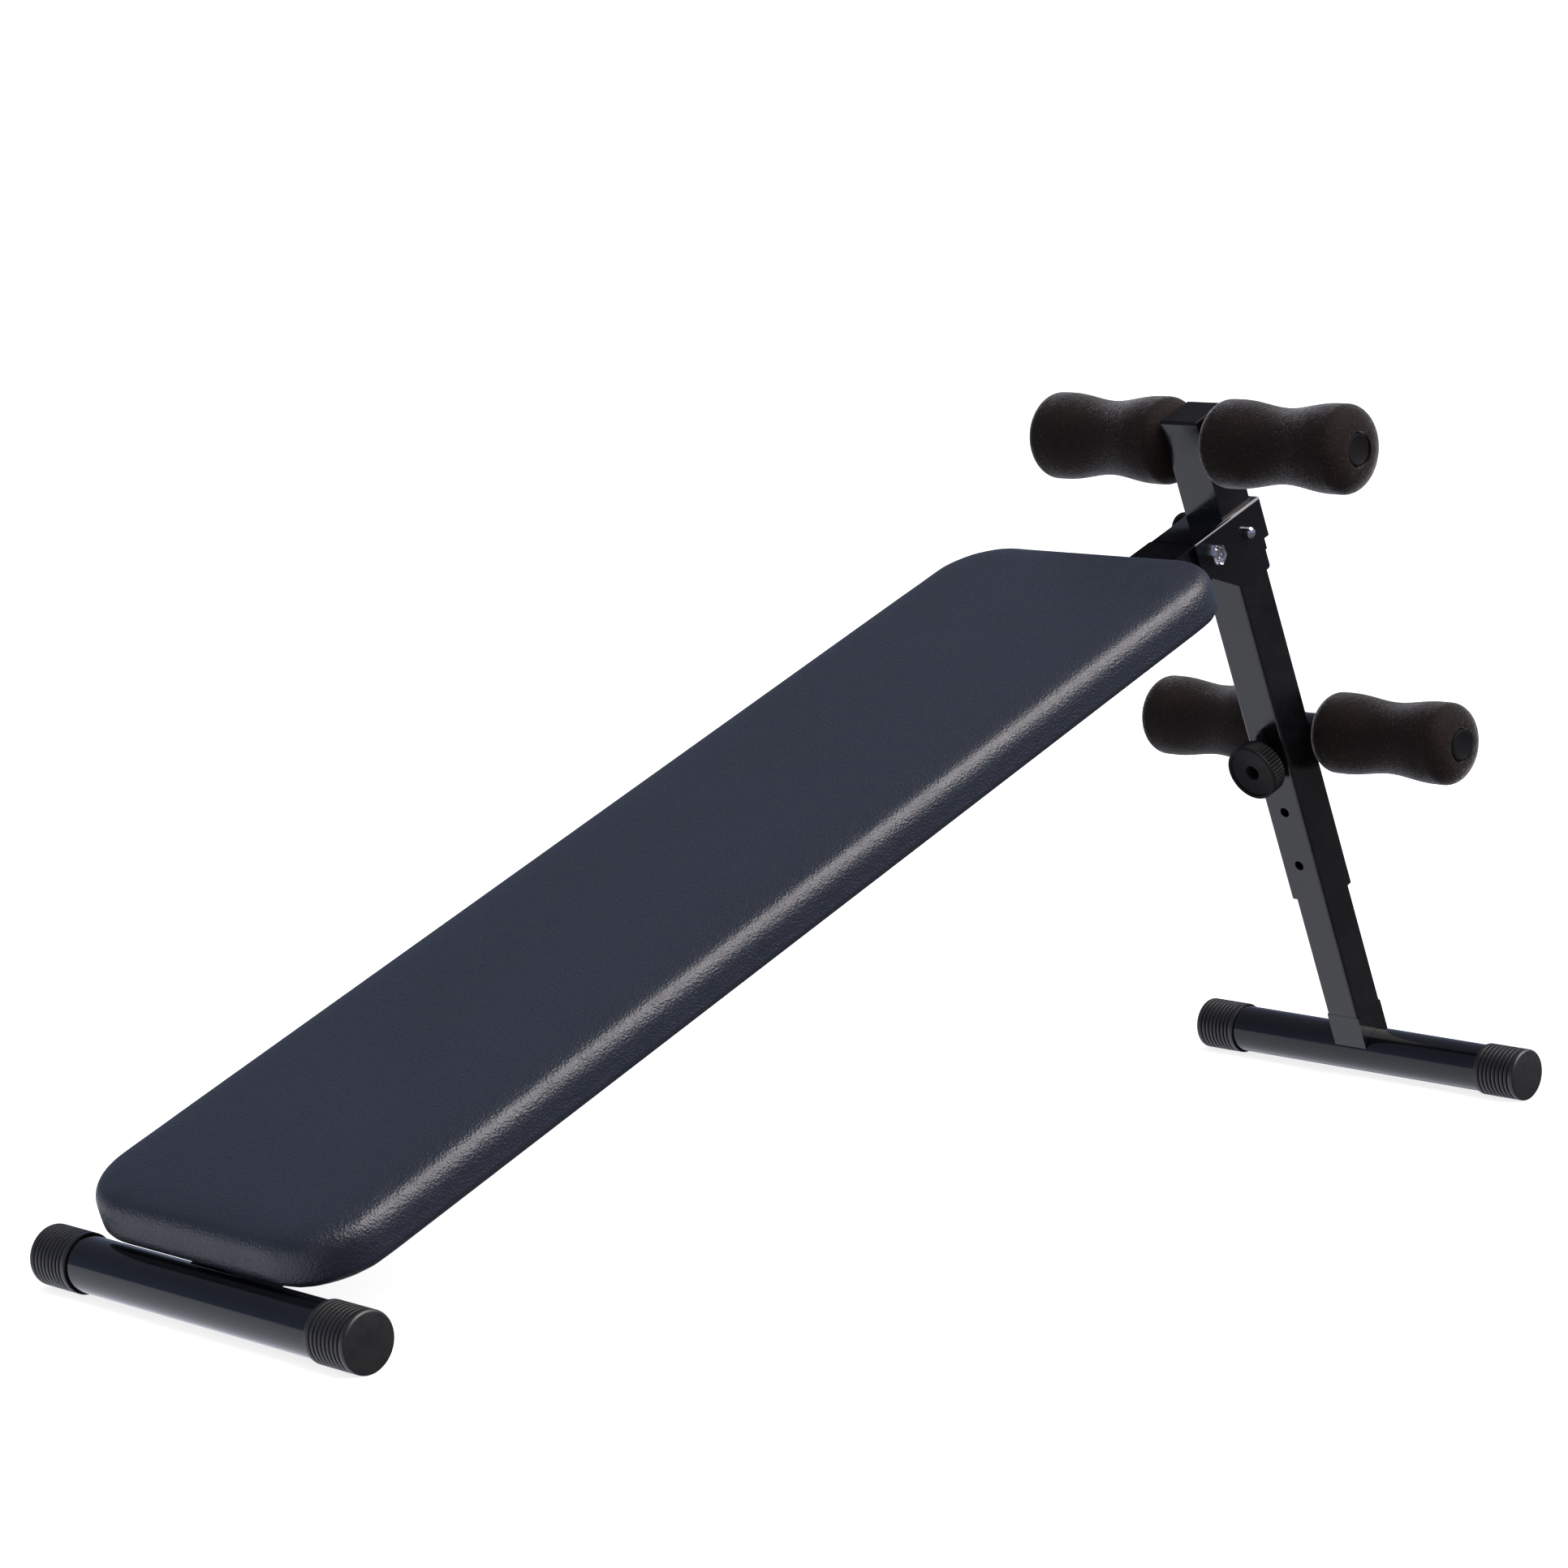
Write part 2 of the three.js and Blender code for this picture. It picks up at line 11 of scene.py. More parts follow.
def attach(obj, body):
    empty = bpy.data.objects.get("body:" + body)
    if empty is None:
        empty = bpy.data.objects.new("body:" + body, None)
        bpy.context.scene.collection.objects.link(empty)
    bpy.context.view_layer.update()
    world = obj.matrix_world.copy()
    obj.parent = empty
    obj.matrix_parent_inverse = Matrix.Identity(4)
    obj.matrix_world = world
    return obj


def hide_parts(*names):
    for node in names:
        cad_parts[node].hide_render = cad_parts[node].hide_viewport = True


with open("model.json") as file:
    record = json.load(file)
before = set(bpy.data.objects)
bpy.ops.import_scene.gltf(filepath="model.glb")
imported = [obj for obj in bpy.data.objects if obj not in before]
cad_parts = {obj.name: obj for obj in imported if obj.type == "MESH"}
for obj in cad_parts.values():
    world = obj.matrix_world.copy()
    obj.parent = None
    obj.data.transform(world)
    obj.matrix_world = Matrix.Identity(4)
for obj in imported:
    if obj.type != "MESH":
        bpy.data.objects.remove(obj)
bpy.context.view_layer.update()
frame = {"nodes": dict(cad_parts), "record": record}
MM = 0.001

# ---------------------------------------------------------------- the bench's own tilted frame

INCLINE = math.radians(23.5)
FOOT_SPACING = 1321.0
CAP_RADIUS = 23.0
POST_U = FOOT_SPACING * math.cos(INCLINE)
BENCH = Matrix.Translation((-FOOT_SPACING / 2 * MM, 0, CAP_RADIUS * MM)) @ Matrix.Rotation(-INCLINE, 4, "Y")


def at(u, y, w):
    """A point in the bench's frame, in millimetres, as a point in the row frame, in metres."""
    return BENCH @ Vector((u * MM, y * MM, w * MM))


# ---------------------------------------------------------------- camera

camera_data = bpy.data.cameras.new("Camera")
camera = bpy.data.objects.new("Camera", camera_data)
camera.location = (-2.5228, -2.4576, 0.7879)
camera.rotation_euler = (math.radians(82.5387), 0, math.radians(-44.7544))
camera_data.sensor_width = 36
camera_data.lens = 101.895
camera_data.clip_end = 200
bpy.context.collection.objects.link(camera)
bpy.context.scene.camera = camera

# ---------------------------------------------------------------- materials


def new_material(name, color, roughness, metallic=0.0, **sockets):
    made = bpy.data.materials.new(name)
    made.use_nodes = True
    made.diffuse_color = (*color, 1)
    shader = made.node_tree.nodes["Principled BSDF"]
    shader.inputs["Base Color"].default_value = (*color, 1)
    shader.inputs["Roughness"].default_value = roughness
    shader.inputs["Metallic"].default_value = metallic
    for key, value in sockets.items():
        shader.inputs[key.replace("_", " ")].default_value = value
    return made, made.node_tree, shader


def link(tree, a, a_out, b, b_in):
    tree.links.new(a.outputs[a_out], b.inputs[b_in])


def object_coordinates(tree):
    return tree.nodes.new("ShaderNodeTexCoord")


def noise(tree, coordinates, scale, detail=4.0, roughness=0.55):
    node = tree.nodes.new("ShaderNodeTexNoise")
    node.inputs["Scale"].default_value = scale
    node.inputs["Detail"].default_value = detail
    node.inputs["Roughness"].default_value = roughness
    link(tree, coordinates, "Object", node, "Vector")
    return node


def ramp(tree, source, output, stops):
    node = tree.nodes.new("ShaderNodeValToRGB")
    while len(node.color_ramp.elements) < len(stops):
        node.color_ramp.elements.new(0.5)
    for element, (place, color) in zip(node.color_ramp.elements, stops):
        element.position = place
        element.color = (*color, 1)
    link(tree, source, output, node, "Fac")
    return node


def bump(tree, source, output, strength, distance, below=None):
    node = tree.nodes.new("ShaderNodeBump")
    node.inputs["Strength"].default_value = strength
    node.inputs["Distance"].default_value = distance
    link(tree, source, output, node, "Height")
    if below is not None:
        link(tree, below, "Normal", node, "Normal")
    return node


def scaled(color, factor):
    return tuple(channel * factor for channel in color)


def varied(name, color, roughness, metallic=0.0, patch=9.0, spread=0.25, rough_spread=0.08,
           grain=900.0, grain_depth=0.00005, grain_strength=0.3, **sockets):
    """A finish with patchy tone, patchy gloss and a fine surface grain."""
    made, tree, shader = new_material(name, color, roughness, metallic, **sockets)
    coordinates = object_coordinates(tree)
    patches = noise(tree, coordinates, patch)
    tone = ramp(tree, patches, "Fac", [(0.3, scaled(color, 1 - spread)), (0.7, scaled(color, 1 + spread))])
    link(tree, tone, "Color", shader, "Base Color")
    gloss = noise(tree, coordinates, patch * 4, 6.0, 0.65)
    low, high = roughness - rough_spread, roughness + rough_spread
    level = ramp(tree, gloss, "Fac", [(0.35, (low,) * 3), (0.65, (high,) * 3)])
    link(tree, level, "Color", shader, "Roughness")
    fine = noise(tree, coordinates, grain, 2.0)
    surface = bump(tree, fine, "Fac", grain_strength, grain_depth)
    link(tree, surface, "Normal", shader, "Normal")
    return made


def vinyl():
    """Soft black-navy upholstery vinyl with a fine leather grain and faint creases."""
    color = (0.004, 0.0062, 0.0122)
    made, tree, shader = new_material("pad_vinyl", color, 0.45, 0.0, Specular_IOR_Level=0.42)
    coordinates = object_coordinates(tree)
    patches = noise(tree, coordinates, 5.0, 3.0)
    tone = ramp(tree, patches, "Fac", [(0.3, scaled(color, 0.9)), (0.7, scaled(color, 1.12))])
    link(tree, tone, "Color", shader, "Base Color")
    gloss = noise(tree, coordinates, 60.0, 5.0, 0.6)
    level = ramp(tree, gloss, "Fac", [(0.3, (0.39,) * 3), (0.7, (0.47,) * 3)])
    link(tree, level, "Color", shader, "Roughness")
    cells = tree.nodes.new("ShaderNodeTexVoronoi")
    cells.feature = "SMOOTH_F1"
    cells.inputs["Scale"].default_value = 620.0
    cells.inputs["Randomness"].default_value = 1.0
    link(tree, coordinates, "Object", cells, "Vector")
    creases = noise(tree, coordinates, 170.0, 5.0, 0.6)
    grain = bump(tree, cells, "Distance", 0.8, 0.0007)
    surface = bump(tree, creases, "Fac", 0.35, 0.0012, grain)
    link(tree, surface, "Normal", shader, "Normal")
    return made


def foam():
    """Brown-black closed-cell foam: fine open pores and a dusty edge sheen."""
    color = (0.0042, 0.0019, 0.0013)
    made, tree, shader = new_material(
        "roller_foam", color, 0.8, 0.0, Sheen_Weight=0.8, Sheen_Roughness=0.12, Sheen_Tint=(0.85, 0.9, 1.0, 1.0),
        Specular_IOR_Level=0.15)
    coordinates = object_coordinates(tree)
    pores = noise(tree, coordinates, 520.0, 3.0, 0.75)
    tone = ramp(tree, pores, "Fac", [
        (0.35, scaled(color, 0.5)), (0.58, scaled(color, 1.1)), (0.72, scaled(color, 6.5))])
    link(tree, tone, "Color", shader, "Base Color")
    surface = bump(tree, pores, "Fac", 0.9, 0.0012)
    link(tree, surface, "Normal", shader, "Normal")
    return made


def wood():
    """Plain plywood with a wavy grain, for the board inside the pad."""
    made, tree, shader = new_material("plywood", (0.42, 0.29, 0.16), 0.75)
    coordinates = object_coordinates(tree)
    grain = tree.nodes.new("ShaderNodeTexWave")
    grain.bands_direction = "Y"
    grain.inputs["Scale"].default_value = 30.0
    grain.inputs["Distortion"].default_value = 5.0
    grain.inputs["Detail"].default_value = 3.0
    link(tree, coordinates, "Object", grain, "Vector")
    tone = ramp(tree, grain, "Color", [(0.2, (0.34, 0.22, 0.12)), (0.8, (0.5, 0.36, 0.21))])
    link(tree, tone, "Color", shader, "Base Color")
    surface = bump(tree, grain, "Color", 0.1, 0.0003)
    link(tree, surface, "Normal", shader, "Normal")
    return made


MATERIALS = {
    "gloss_black_steel": varied("gloss_black_steel", (0.0016, 0.0019, 0.0028), 0.12, 0.0, patch=6.0, spread=0.4,
                                rough_spread=0.05, grain=150.0, grain_depth=0.0001, grain_strength=0.05,
                                Specular_IOR_Level=0.42),
    "satin_black_steel": varied("satin_black_steel", (0.002, 0.0021, 0.0027), 0.17, 0.0, patch=26.0, spread=0.4,
                                rough_spread=0.07, grain=90.0, grain_depth=0.00016, grain_strength=0.07),
    "cap_rubber": varied("cap_rubber", (0.0045, 0.0045, 0.005), 0.45, grain=700.0, grain_strength=0.35,
                         grain_depth=0.0001),
    "plywood": wood(),
    "pad_vinyl": vinyl(),
    "zinc_steel": varied("zinc_steel", (0.62, 0.62, 0.65), 0.2, 1.0, patch=60.0, spread=0.15),
    "chrome_steel": varied("chrome_steel", (0.7, 0.7, 0.73), 0.17, 1.0, patch=60.0, spread=0.1, rough_spread=0.05),
    "black_plastic": varied("black_plastic", (0.0042, 0.0043, 0.0048), 0.5, grain=800.0, grain_strength=0.25,
                            grain_depth=0.00006, Specular_IOR_Level=0.06),
    "roller_foam": foam(),
}

slots = {part["node"]: part["material_slot"] for part in frame["record"]["subparts"]}
for node_name, node in frame["nodes"].items():
    look = MATERIALS[slots[node_name]]
    if not node.material_slots:
        node.data.materials.append(look)
    for material_slot in node.material_slots:
        material_slot.material = look

# ---------------------------------------------------------------- mesh helpers


def add_piece(name, vertices, faces, body, slot, *nodes, sharp=32):
    """A smooth-shaded piece from vertices in the row frame, in metres."""
    mesh = bpy.data.meshes.new(name)
    mesh.from_pydata([tuple(v) for v in vertices], [], faces)
    shape = bmesh.new()
    shape.from_mesh(mesh)
    bmesh.ops.remove_doubles(shape, verts=shape.verts, dist=1e-6)
    bmesh.ops.recalc_face_normals(shape, faces=shape.faces)
    shape.to_mesh(mesh)
    shape.free()
    return dress(name, mesh, body, slot, *nodes, sharp=sharp)


def dress(name, mesh, body, slot, *nodes, sharp=32):
    mesh.polygons.foreach_set("use_smooth", [True] * len(mesh.polygons))
    mesh.set_sharp_from_angle(angle=math.radians(sharp))
    piece = bpy.data.objects.new(name, mesh)
    bpy.context.collection.objects.link(piece)
    mesh.materials.append(MATERIALS[slot])
    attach(piece, body)
    if nodes:
        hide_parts(*nodes)
    return piece


def rings_to_mesh(rings, closed_loop=False):
    """Quads between neighbouring rings; a ring of one point is a pole."""
    vertices, starts = [], []
    for ring in rings:
        starts.append(len(vertices))
        vertices.extend(ring)
    faces = []
    pairs = list(zip(range(len(rings) - 1), range(1, len(rings))))
    if closed_loop:
        pairs.append((len(rings) - 1, 0))
    for a, b in pairs:
        count = max(len(rings[a]), len(rings[b]))
        for k in range(count):
            n = (k + 1) % count
            corners = []
            for ring, first, second in ((a, k, n), (b, n, k)):
                if len(rings[ring]) == 1:
                    corners.append(starts[ring])
                else:
                    corners += [starts[ring] + first, starts[ring] + second]
            faces.append(corners)
    return vertices, faces


def turned(name, profile, centre, body, slot, *nodes, side=1, segments=64, closed=False, sharp=32):
    """A turned piece about Y, from (radius, y) points in millimetres about a centre in the row frame."""
    rings = []
    for radius, y in profile:
        steps = segments if radius > 1e-6 else 1
        rings.append([
            (centre.x + radius * MM * math.cos(2 * math.pi * k / steps), side * y * MM,
             centre.z + radius * MM * math.sin(2 * math.pi * k / steps))
            for k in range(steps)])
    vertices, faces = rings_to_mesh(rings, closed)
    return add_piece(name, vertices, faces, body, slot, *nodes, sharp=sharp)


SIDES = (("left", 1), ("right", -1))
FEET = {"front": ("bench", Vector((-FOOT_SPACING / 2 * MM, 0, CAP_RADIUS * MM))),
        "rear": ("leg", Vector((FOOT_SPACING / 2 * MM, 0, CAP_RADIUS * MM)))}

# ---------------------------------------------------------------- feet


TUBE_RADIUS = 21
TUBE_BORE = 19
TUBE_END = 177.5
CAP_INSIDE_END = 178
CAP_ROUNDING = 2.2
GROOVES = 8
GROOVE_START = 143.8
GROOVE_PITCH = 4.4


def cap_profile():
    """A push-on cap: a plain rim, moulded grooves, a plain band and a softened end."""
    radius, bore, rim, end, depth = CAP_RADIUS, 21.2, 138.0, 181.0, 1.5
    points = [(bore, CAP_INSIDE_END), (bore, rim + 0.4), (bore + 0.5, rim), (radius - 0.9, rim),
              (radius - 0.2, rim + 0.3), (radius, rim + 1.0)]
    for i in range(GROOVES):
        y = GROOVE_START + GROOVE_PITCH * i
        points += [(radius, y - 1.1), (radius - 0.25, y - 0.75), (radius - depth, y - 0.55),
                   (radius - depth, y + 0.55), (radius - 0.25, y + 0.75), (radius, y + 1.1)]
    for angle in range(0, 91, 15):
        turn = math.radians(angle)
        points.append((radius - CAP_ROUNDING + CAP_ROUNDING * math.cos(turn),
                       end - CAP_ROUNDING + CAP_ROUNDING * math.sin(turn)))
    return [(0, CAP_INSIDE_END)] + points + [(0, end)]


for foot_name, (foot_body, foot_centre) in FEET.items():
    tube = [(TUBE_RADIUS, -TUBE_END), (TUBE_RADIUS, TUBE_END), (TUBE_BORE, TUBE_END), (TUBE_BORE, -TUBE_END)]
    turned(f"{foot_name}_tube_skin", tube, foot_centre, foot_body, "gloss_black_steel",
           f"{foot_name}_foot_tube", segments=96, closed=True)
    for side_name, sign in SIDES:
        turned(f"{foot_name}_ribbed_cap_{side_name}", cap_profile(), foot_centre, foot_body, "cap_rubber",
               f"{foot_name}_foot_cap_{side_name}", side=sign, segments=96, sharp=40)

# ---------------------------------------------------------------- foam rollers

AXLE_RADIUS = 15
AXLE_END = 168.3
AXLE_BORE = 13.2
FOAM_BORE = 15.3
FOAM_ROUNDING = 15.0
# Each level: the axle's centre, then the foam's inner and outer ends, its bulge radius and its waist radius.
AXLES = {"upper": (at(POST_U, 0, 85.3), 20.7, 172.4, 38.2, 32.4),
         "lower": (at(POST_U + 35.4, 0, -214.1), 24.8, 170.6, 36.1, 31.6)}
END_PLUG = [(0, 152), (11.8, 152), (12.8, 154), (12.8, 168.6), (14, 168.6), (14, 170.4), (13.6, 171.2),
            (12.8, 171.6), (11.6, 171.6), (10.8, 171.1), (0, 170.9)]


def foam_radius(offset, length, bulge, waist, face=16.2, rounding=FOAM_ROUNDING, bulge_from=24.0):
    """The roller's radius at a distance from its inner end: bulged near both ends, waisted between them."""
    from_end = min(offset, length - offset)
    phase = (from_end - bulge_from) / (length / 2 - bulge_from)
    swell = 1 if from_end < bulge_from else (1 + math.cos(phase * math.pi)) / 2
    full = waist + (bulge - waist) * swell
    if from_end >= rounding:
        return full
    return face + (full - face) * math.sqrt(max(0, 1 - (1 - from_end / rounding) ** 2))


for level, (axis, inner, outer, bulge, waist) in AXLES.items():
    tube = [(AXLE_RADIUS, -AXLE_END), (AXLE_RADIUS, AXLE_END), (AXLE_BORE, AXLE_END), (AXLE_BORE, -AXLE_END)]
    turned(f"{level}_axle_tube", tube, axis, "post", "gloss_black_steel", f"{level}_roller_axle",
           segments=64, closed=True)
    length = outer - inner
    steps = [FOAM_ROUNDING * (1 - math.cos(math.radians(a))) for a in range(0, 90, 6)]
    steps += list(np.linspace(FOAM_ROUNDING, length - FOAM_ROUNDING, 48)) + [length - s for s in reversed(steps)]
    for side_name, sign in SIDES:
        turned(f"{level}_end_plug_{side_name}", END_PLUG, axis, "post", "black_plastic",
               f"{level}_axle_plug_{side_name}", side=sign, segments=64)
        profile = [(FOAM_BORE, outer), (FOAM_BORE, inner)]
        profile += [(foam_radius(s, length, bulge, waist), inner + s) for s in steps]
        roller = turned(f"{level}_foam_{side_name}", profile, axis, f"{level}_{side_name}_roller", "roller_foam",
                        f"{level}_foam_roller_{side_name}", side=sign, segments=96, closed=True, sharp=60)

# ---------------------------------------------------------------- knob


KNOB_W = -214.5
FLUTE_DEPTH = 1.9


def knob():
    """A fluted clamp knob: rounded ribs, a thin raised rim and a flat face with a deep hole for the screw head."""
    ribs, per_rib, radius = 45, 8, 25.2
    # Radius, distance from the post's axis, and how much of the flute's depth that row takes.
    rows = [(4.7, -31, 0), (23.2, -31, 0), (24.4, -31.4, 0.4), (radius, -32.4, 1), (radius, -38, 1),
            (radius, -44.6, 1), (radius, -45.6, 0.9), (radius, -46.2, 0), (radius, -47.4, 0),
            (radius - 0.3, -48.1, 0), (radius - 0.9, -48.3, 0), (radius - 2.3, -48.3, 0), (radius - 2.9, -48.0, 0),
            (radius - 3.2, -46.7, 0), (radius - 3.6, -46.5, 0), (7.6, -46.5, 0), (6.9, -46.3, 0), (6.6, -45.6, 0),
            (6.6, -35.6, 0), (4.7, -35.6, 0)]
    count = ribs * per_rib
    rings = []
    for r, u, depth in rows:
        ring = []
        for k in range(count):
            turn = 2 * math.pi * k / count
            wave = 0.5 - 0.5 * math.cos(ribs * turn)
            here = r - FLUTE_DEPTH * depth * wave ** 1.3
            ring.append(at(POST_U + u, here * math.cos(turn), KNOB_W + here * math.sin(turn)))
        rings.append(ring)
    vertices, faces = rings_to_mesh(rings, True)
    return add_piece("knob_handwheel", vertices, faces, "knob", "black_plastic", "knob_grip", sharp=50)


knob()

# ---------------------------------------------------------------- hinge hardware

HINGE = at(POST_U - 51, 0, 4.6)
ACROSS_FLATS = 16.5


def hexagon(name, y0, y1, flats, hole, body, *nodes, dome=0.0):
    """A hexagon about the hinge axis, from the hole's radius out; a row with no radius follows the flats.

    Known fault: the chamfer's sign is fixed, so it is only right where y1 is above y0. On the lock nut it makes
    lips instead, and sinks the rim 1.0 mm into the bracket.
    """
    corner = flats / math.sqrt(3)
    count = 96
    rings = []
    chamfer = 1.3
    rows = [(hole, y0), (flats / 2 * 0.97, y0), (None, y0 + chamfer), (None, y1 - chamfer), (flats / 2 * 0.97, y1),
            (hole + 1.2, y1 + dome), (hole, y1 + dome)]
    for r, y in rows:
        ring = []
        for k in range(count):
            turn = 2 * math.pi * k / count
            across = flats / 2 / math.cos((turn + math.pi / 6) % (math.pi / 3) - math.pi / 6)
            here = min(corner, across) if r is None else r
            ring.append((HINGE.x + here * MM * math.cos(turn + math.pi / 6), y * MM,
                         HINGE.z + here * MM * math.sin(turn + math.pi / 6)))
        rings.append(ring)
    vertices, faces = rings_to_mesh(rings, True)
    return add_piece(name, vertices, faces, body, "zinc_steel", *nodes, sharp=28)


hexagon("hinge_lock_nut", -25.3, -34.6, ACROSS_FLATS, 5.15, "bench", "hinge_nut", dome=-2.2)
shank = [(0, -34.6), (2.6, -34.6), (2.8, -35.4), (4.4, -35.4), (5, -34.6), (5, 25.2), (0, 25.2)]
turned("hinge_bolt_shank", shank, HINGE, "bench", "zinc_steel", "hinge_bolt", segments=48)
hexagon("hinge_bolt_head", 25.3, 31.8, ACROSS_FLATS, 0.01, "bench")

# ---------------------------------------------------------------- lock pin

PIN = at(POST_U, 0, 0)
turned("lock_pin_rod", [(0, -32), (3.2, -32), (3.6, -31.8), (5, -30.2), (5, 44), (0, 44)], PIN, "pin", "chrome_steel",
       "lock_pin", segments=48)
grip = [(0, 44.3), (5.3, 44.3), (5.3, 30), (8.6, 30), (9, 30.4), (9, 33), (9.8, 34.6), (12, 36.4), (13.6, 38.6),
        (14.4, 41.4), (14.5, 44), (14.1, 46.6), (13, 48.6), (11, 50.2), (8, 51.2), (4, 51.5), (0, 51.5)]
turned("lock_pin_pull", grip, PIN, "pin", "black_plastic", "lock_pin_grip", segments=64)

# ---------------------------------------------------------------- pad


PAD_START, PAD_END, PAD_HALF_WIDTH = 3.3, 1061.3, 148.5
PAD_TOP, PAD_BOTTOM = 59.9, 21.2
PAD_TOP_EDGE, PAD_BOTTOM_EDGE = 13.0, 6.0
VOXEL = 0.0045
CLOTH_FRAMES = 20
LARGEST_MOVE = 0.0012
PINNED_BELOW = 0.030


def rounded_plan(inset, corner=58.8, steps=14):
    """The pad's outline seen from above, moved inwards."""
    x0, x1, half = PAD_START + inset, PAD_END - inset, PAD_HALF_WIDTH - inset
    r = max(corner - inset, 1)
    centres = ((x1 - r, half - r, 0), (x0 + r, half - r, 90), (x0 + r, r - half, 180), (x1 - r, r - half, 270))
    points = []
    for cx, cy, start in centres:
        for k in range(steps + 1):
            turn = math.radians(start + 90 * k / steps)
            points.append((cx + r * math.cos(turn), cy + r * math.sin(turn)))
    return points


def slab(top, bottom, top_edge, bottom_edge, steps=8):
    """A closed slab with rounded edges, in the bench's frame, in metres."""
    layers = []
    for k in range(steps + 1):
        turn = math.pi / 2 * k / steps
        layers.append((bottom_edge * (1 - math.sin(turn)),
                       bottom + bottom_edge * (1 - math.cos(turn))))
    for k in range(steps + 1):
        turn = math.pi / 2 * k / steps
        layers.append((top_edge * (1 - math.cos(turn)), top - top_edge * (1 - math.sin(turn))))
    rings = [[(x * MM, y * MM, w * MM) for x, y in rounded_plan(i)] for i, w in layers]
    vertices, faces = rings_to_mesh(rings)
    count = len(rings[0])
    faces.append(list(range(count)))
    faces.append([len(vertices) - count + k for k in range(count)])
    mesh = bpy.data.meshes.new("pad_start")
    mesh.from_pydata(vertices, [], faces)
    shape = bmesh.new()
    shape.from_mesh(mesh)
    bmesh.ops.recalc_face_normals(shape, faces=shape.faces)
    shape.to_mesh(mesh)
    shape.free()
    return mesh


def positions(mesh):
    """The mesh's vertices as an array of points."""
    flat = np.zeros(len(mesh.vertices) * 3)
    mesh.vertices.foreach_get("co", flat)
    return flat.reshape(-1, 3)


def inflate(piece, cap, pinned_below):
    """Swells the cover by cloth pressure and keeps each point's move under the cap."""
    start = positions(piece.data)
    group = piece.vertex_groups.new(name="pinned")
    group.add([int(i) for i in np.nonzero(start[:, 2] < pinned_below)[0]], 1.0, "REPLACE")
    cloth = piece.modifiers.new("Cloth", "CLOTH")
    cloth.settings.use_pressure = True
    cloth.settings.uniform_pressure_force = 4.0
    cloth.settings.quality = 5
    cloth.settings.effector_weights.gravity = 0.0
    cloth.settings.vertex_group_mass = "pinned"
    cloth.collision_settings.use_collision = False
    cloth.point_cache.frame_start = 1
    cloth.point_cache.frame_end = CLOTH_FRAMES
    for step in range(1, CLOTH_FRAMES + 1):
        bpy.context.scene.frame_set(step)
    graph = bpy.context.evaluated_depsgraph_get()
    swollen = positions(piece.evaluated_get(graph).data)
    piece.modifiers.remove(cloth)
    piece.vertex_groups.clear()
    bpy.context.scene.frame_set(1)
    move = swollen - start
    size = np.linalg.norm(move, axis=1, keepdims=True)
    move *= cap * np.tanh(size / cap) / np.maximum(size, 1e-9)
    piece.data.vertices.foreach_set("co", (start + move).ravel())


def apply_modifiers(piece):
    """Bakes the object's modifiers into a new mesh."""
    graph = bpy.context.evaluated_depsgraph_get()
    mesh = bpy.data.meshes.new_from_object(piece.evaluated_get(graph))
    piece.modifiers.clear()
    piece.data = mesh


def pad():
    """The upholstered cover: a rounded slab, swollen slightly by cloth pressure and smoothed."""
    start = bpy.data.objects.new("pad_start", slab(PAD_TOP, PAD_BOTTOM, PAD_TOP_EDGE, PAD_BOTTOM_EDGE))
    bpy.context.collection.objects.link(start)
    remesh = start.modifiers.new("Remesh", "REMESH")
    remesh.mode = "VOXEL"
    remesh.voxel_size = VOXEL
    apply_modifiers(start)
    smooth = start.modifiers.new("Smooth", "SMOOTH")
    smooth.factor = 0.5
    smooth.iterations = 8
    apply_modifiers(start)
    inflate(start, LARGEST_MOVE, PINNED_BELOW)
    smooth = start.modifiers.new("Smooth", "SMOOTH")
    smooth.factor = 0.5
    smooth.iterations = 3
    divide = start.modifiers.new("Subdivision", "SUBSURF")
    divide.levels = 1
    apply_modifiers(start)
    mesh = start.data
    bpy.data.objects.remove(start)
    mesh.transform(BENCH)
    mesh.materials.clear()
    piece = dress("pad_cover", mesh, "bench", "pad_vinyl", "pad_cushion", sharp=180)


pad()

# ---------------------------------------------------------------- floor and light

KEY_ENERGY = 7.5
KEY_COLOR = (1.0, 0.93, 0.92)
KEY_WIDTH = math.radians(60)
KEY_FROM = (0.27, -0.50, 0.82)
PALE_SIDE = (-0.42, 0.66, -0.62)
FLOOR_REACH = 60.0
FLOOR_DROP = 0.0003


def stage_floor():
    """A plain pale floor. It gives off some light, so shadows on it stay faint."""
    mesh = bpy.data.meshes.new("studio_floor")
    reach = FLOOR_REACH
    corners = [(-reach, -reach, 0), (reach, -reach, 0), (reach, reach, 0), (-reach, reach, 0)]
    mesh.from_pydata(corners, [], [(0, 1, 2, 3)])
    floor = bpy.data.objects.new("studio_floor", mesh)
    floor.location.z = -FLOOR_DROP
    bpy.context.collection.objects.link(floor)
    made, _, _ = new_material("studio_floor", (0.3, 0.3, 0.3), 0.9, Specular_IOR_Level=0.1, Emission_Strength=0.8)
    mesh.materials.append(made)
    floor.visible_glossy = False


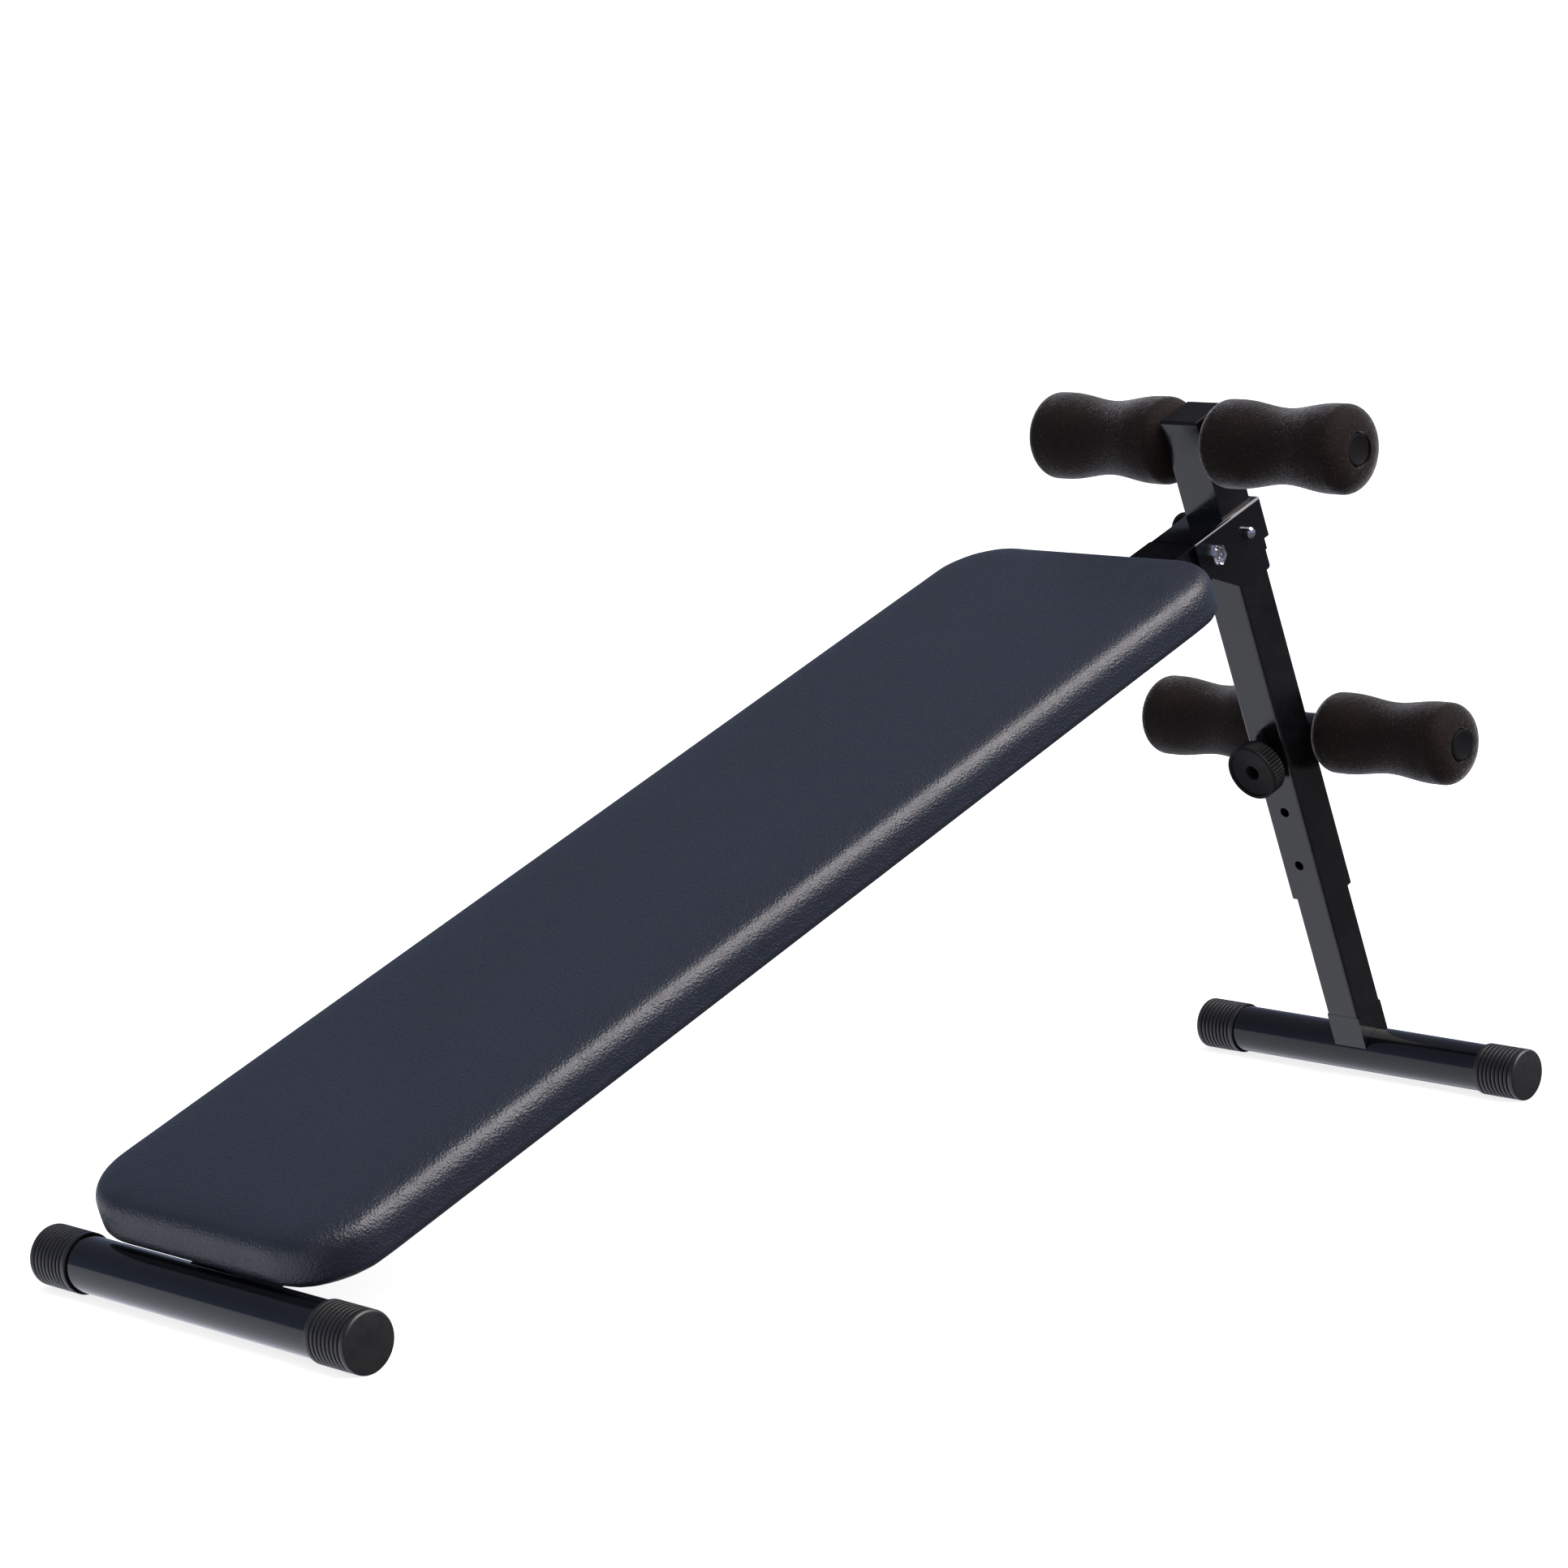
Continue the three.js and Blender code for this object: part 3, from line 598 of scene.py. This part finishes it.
def toward(tree, direction, stops):
    """A colour that depends on how near a light ray's direction is to the given one."""
    place = tree.nodes.new("ShaderNodeTexCoord")
    dot = tree.nodes.new("ShaderNodeVectorMath")
    dot.operation = "DOT_PRODUCT"
    dot.inputs[1].default_value = Vector(direction).normalized()
    link(tree, place, "Generated", dot, 0)
    return ramp(tree, dot, "Value", stops)


def background(tree, color, strength):
    node = tree.nodes.new("ShaderNodeBackground")
    if isinstance(color, tuple):
        node.inputs["Color"].default_value = (*color, 1)
    else:
        link(tree, color, "Color", node, "Color")
    node.inputs["Strength"].default_value = strength
    return node


def mixed(tree, factor, output, first, second):
    node = tree.nodes.new("ShaderNodeMixShader")
    link(tree, factor, output, node, 0)
    tree.links.new(first.outputs[0], node.inputs[1])
    tree.links.new(second.outputs[0], node.inputs[2])
    return node


def studio():
    """White to the camera and to matt surfaces. Glossy ones see a dark blue room over a floor with one pale side."""
    world = bpy.data.worlds.new("studio")
    bpy.context.scene.world = world
    world.use_nodes = True
    tree = world.node_tree
    tree.nodes.clear()
    plain = background(tree, (1, 1, 1), 1.0)
    glow = toward(tree, PALE_SIDE, [
        (0.0, (0.105, 0.1, 0.105)), (0.3, (0.115, 0.112, 0.125)),
        (0.62, (0.8, 0.82, 0.96)), (1.0, (0.88, 0.9, 1.0))])
    ground = background(tree, glow, 1.3)
    air = toward(tree, (0.0, 0.0, 1.0), [
        (0.0, (0.26, 0.33, 0.52)), (0.5, (0.2, 0.23, 0.32)), (1.0, (0.2, 0.21, 0.25))])
    sky = background(tree, air, 1.0)
    below = toward(tree, (0.0, 0.0, -1.0), [(0.0, (0, 0, 0)), (0.03, (1, 1, 1))])
    room = mixed(tree, below, "Color", sky, ground)
    path = tree.nodes.new("ShaderNodeLightPath")
    mix = mixed(tree, path, "Is Glossy Ray", plain, room)
    out = tree.nodes.new("ShaderNodeOutputWorld")
    tree.links.new(mix.outputs[0], out.inputs["Surface"])
    data = bpy.data.lights.new("key", "SUN")
    data.energy = KEY_ENERGY
    data.color = KEY_COLOR
    data.angle = KEY_WIDTH
    key = bpy.data.objects.new("key", data)
    key.rotation_euler = Vector(KEY_FROM).to_track_quat("Z", "Y").to_euler()
    bpy.context.collection.objects.link(key)
    bpy.context.scene.view_settings.view_transform = "Standard"


stage_floor()
studio()
